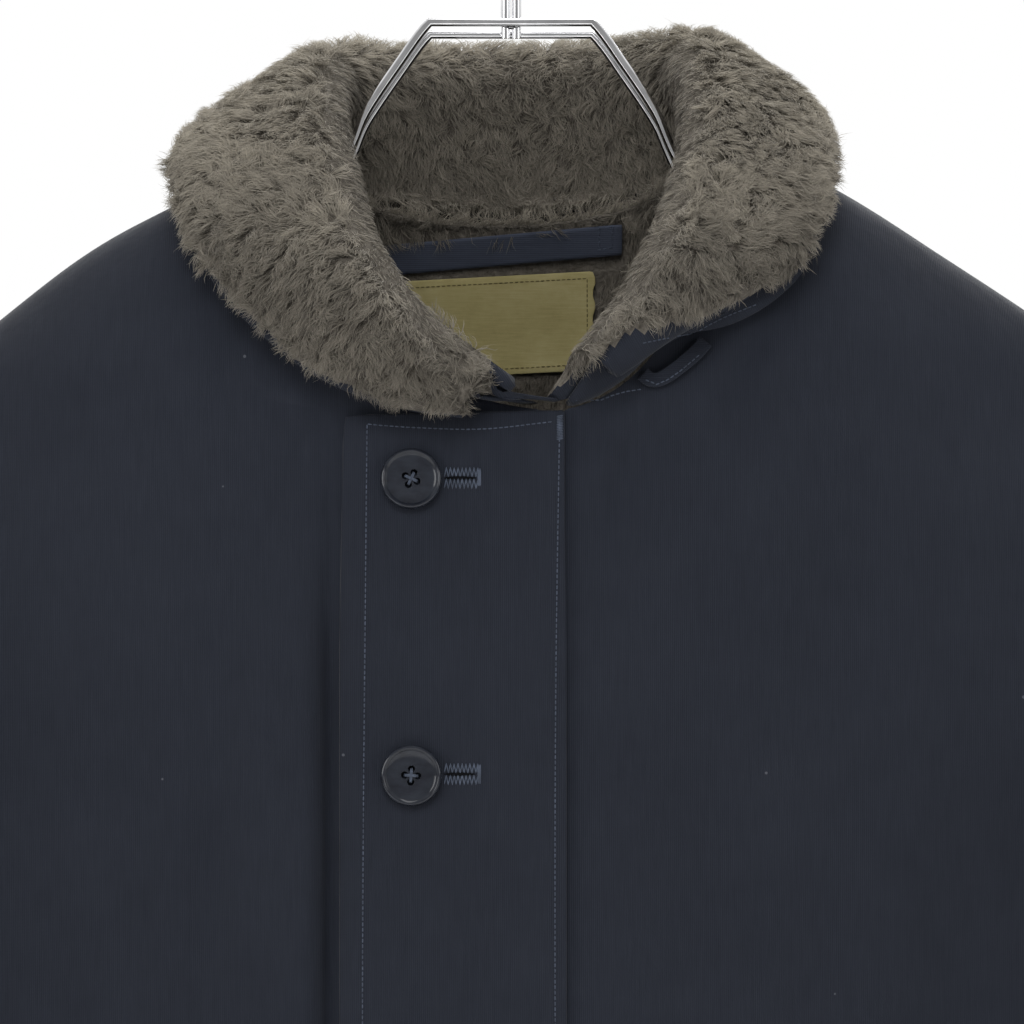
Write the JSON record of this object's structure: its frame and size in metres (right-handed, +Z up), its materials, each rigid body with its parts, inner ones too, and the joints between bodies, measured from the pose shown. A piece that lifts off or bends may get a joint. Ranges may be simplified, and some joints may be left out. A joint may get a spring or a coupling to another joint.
{
  "type": "deck jacket on a wire hanger",
  "caption": "Navy deck jacket with a pile-lined turned-down collar and a buttoned storm flap, hanging open and empty on a double wire hanger.",
  "frame": {"origin": "the point inside the top of the hanger's hook where it bears on a rail", "axes": "+Z up, the garment's front faces -Y, +X to the wearer's left"},
  "size_m": [0.658, 0.1837, 0.8376],
  "materials": {
    "navy_cloth": "matt, finely corded navy cloth with slate-blue stitching",
    "pile": "deep grey-brown wool pile",
    "label_cloth": "bare mustard woven label",
    "button": "dark glossy plastic with a raised rim",
    "wire": "bright chrome wire"
  },
  "bodies": {
    "root": {"front_right": "navy_cloth", "front_left": "navy_cloth", "back": "navy_cloth", "sleeve_right": "navy_cloth", "sleeve_left": "navy_cloth", "storm_flap": "navy_cloth", "under_collar": "navy_cloth", "throat_latch": "navy_cloth", "hanging_loop": "navy_cloth", "collar_pile": "pile", "neck_lining": "pile", "label": "label_cloth", "button_1": "button", "button_2": "button", "button_3": "button", "button_4": "button", "button_5": "button", "hanger_frame": "wire", "hanger_hook": "wire"}
  },
  "joints": []
}
